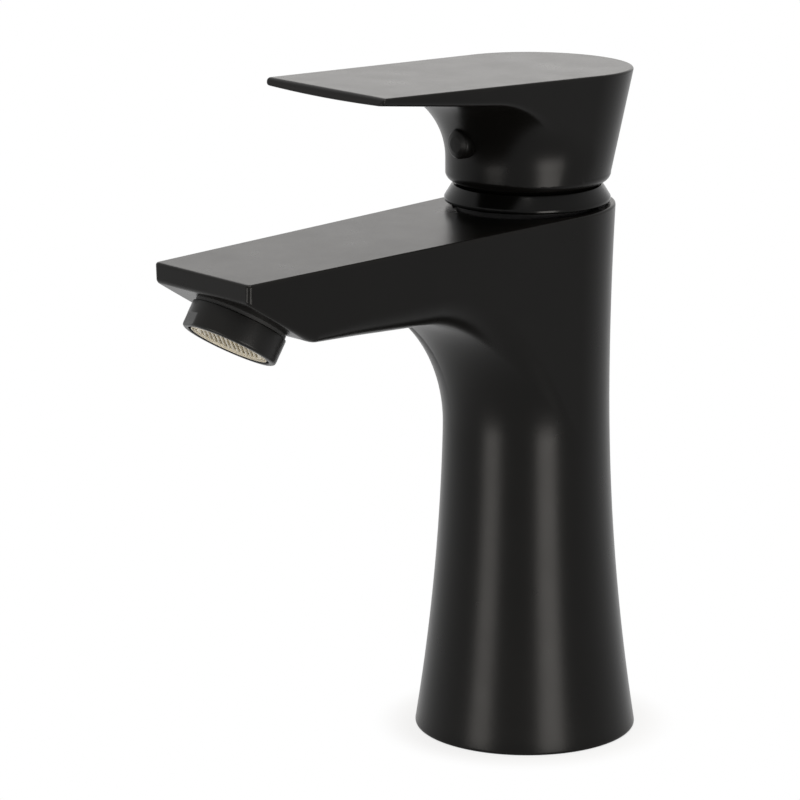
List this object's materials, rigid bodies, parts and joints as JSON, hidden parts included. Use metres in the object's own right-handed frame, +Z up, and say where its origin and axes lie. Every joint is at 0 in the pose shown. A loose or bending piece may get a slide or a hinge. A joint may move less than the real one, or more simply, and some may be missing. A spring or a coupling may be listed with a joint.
{
  "type": "bathroom mixer faucet",
  "caption": "Single-lever basin mixer in matte black: waisted round column, flat tapering spout with slanted aerator, and a flat lever that turns for temperature and lifts for flow.",
  "frame": {"origin": "centre of the round base where it stands on the deck", "axes": "+Z up along the column, spout and lever towards -Y, hot side at -X"},
  "size_m": [0.0584, 0.1371, 0.1776],
  "materials": {
    "black_body": "matte black coating over cast brass",
    "black_lever": "matte black coating over cast metal",
    "black_trim": "satin black coating",
    "black_plug": "matte",
    "aerator_shell": "matte black coating",
    "cream_plastic": "moulded, slightly glossy",
    "steel": "machined",
    "brass": "machined",
    "white_plastic": "moulded",
    "red_plastic": "moulded",
    "disc_ceramic": "lapped ceramic",
    "black_rubber": "matte"
  },
  "bodies": {
    "valve_body": {"faucet_body": "black_body", "inlet_block": "brass", "base_seal": "black_rubber", "trim_ring": "black_trim", "aerator_housing": "aerator_shell", "aerator_washer": "black_rubber", "aerator_core": "cream_plastic", "aerator_screen": "cream_plastic", "inlet_screen": "steel", "fixed_disc": "disc_ceramic", "disc_seals": "black_rubber", "cartridge_housing": "white_plastic", "cartridge_base": "white_plastic", "inlet_seals": "black_rubber", "housing_o_ring": "black_rubber", "hot_limit_ring": "red_plastic", "retaining_nut": "black_trim", "trim_o_ring": "black_rubber"},
    "mixing_turret": {"turret": "white_plastic", "pivot_pin": "steel"},
    "lever": {"lever_handle": "black_lever", "screw_plug": "black_plug", "handle_set_screw": "steel", "lever_stem": "brass"},
    "disc_pair": {"disc_carrier": "white_plastic", "moving_disc": "disc_ceramic"}
  },
  "joints": [
    {"name": "temperature_turn", "type": "hinge", "parent": "valve_body", "child": "mixing_turret", "pos_m": [0, 0, 0.13142], "axis": [0, 0, 1], "range_deg": [-45, 45]},
    {"name": "flow_tilt", "type": "hinge", "parent": "mixing_turret", "child": "lever", "pos_m": [0, 0, 0.13142], "axis": [-1, 0, 0], "range_deg": [0, 20]},
    {"name": "disc_slide", "type": "slide", "parent": "mixing_turret", "child": "disc_pair", "axis": [0, -1, 0], "range_m": [0, 0.0036]}
  ],
  "couplings": [
    {"joint": "disc_slide", "follows": "flow_tilt", "m_per_rad": 0.010049}
  ]
}
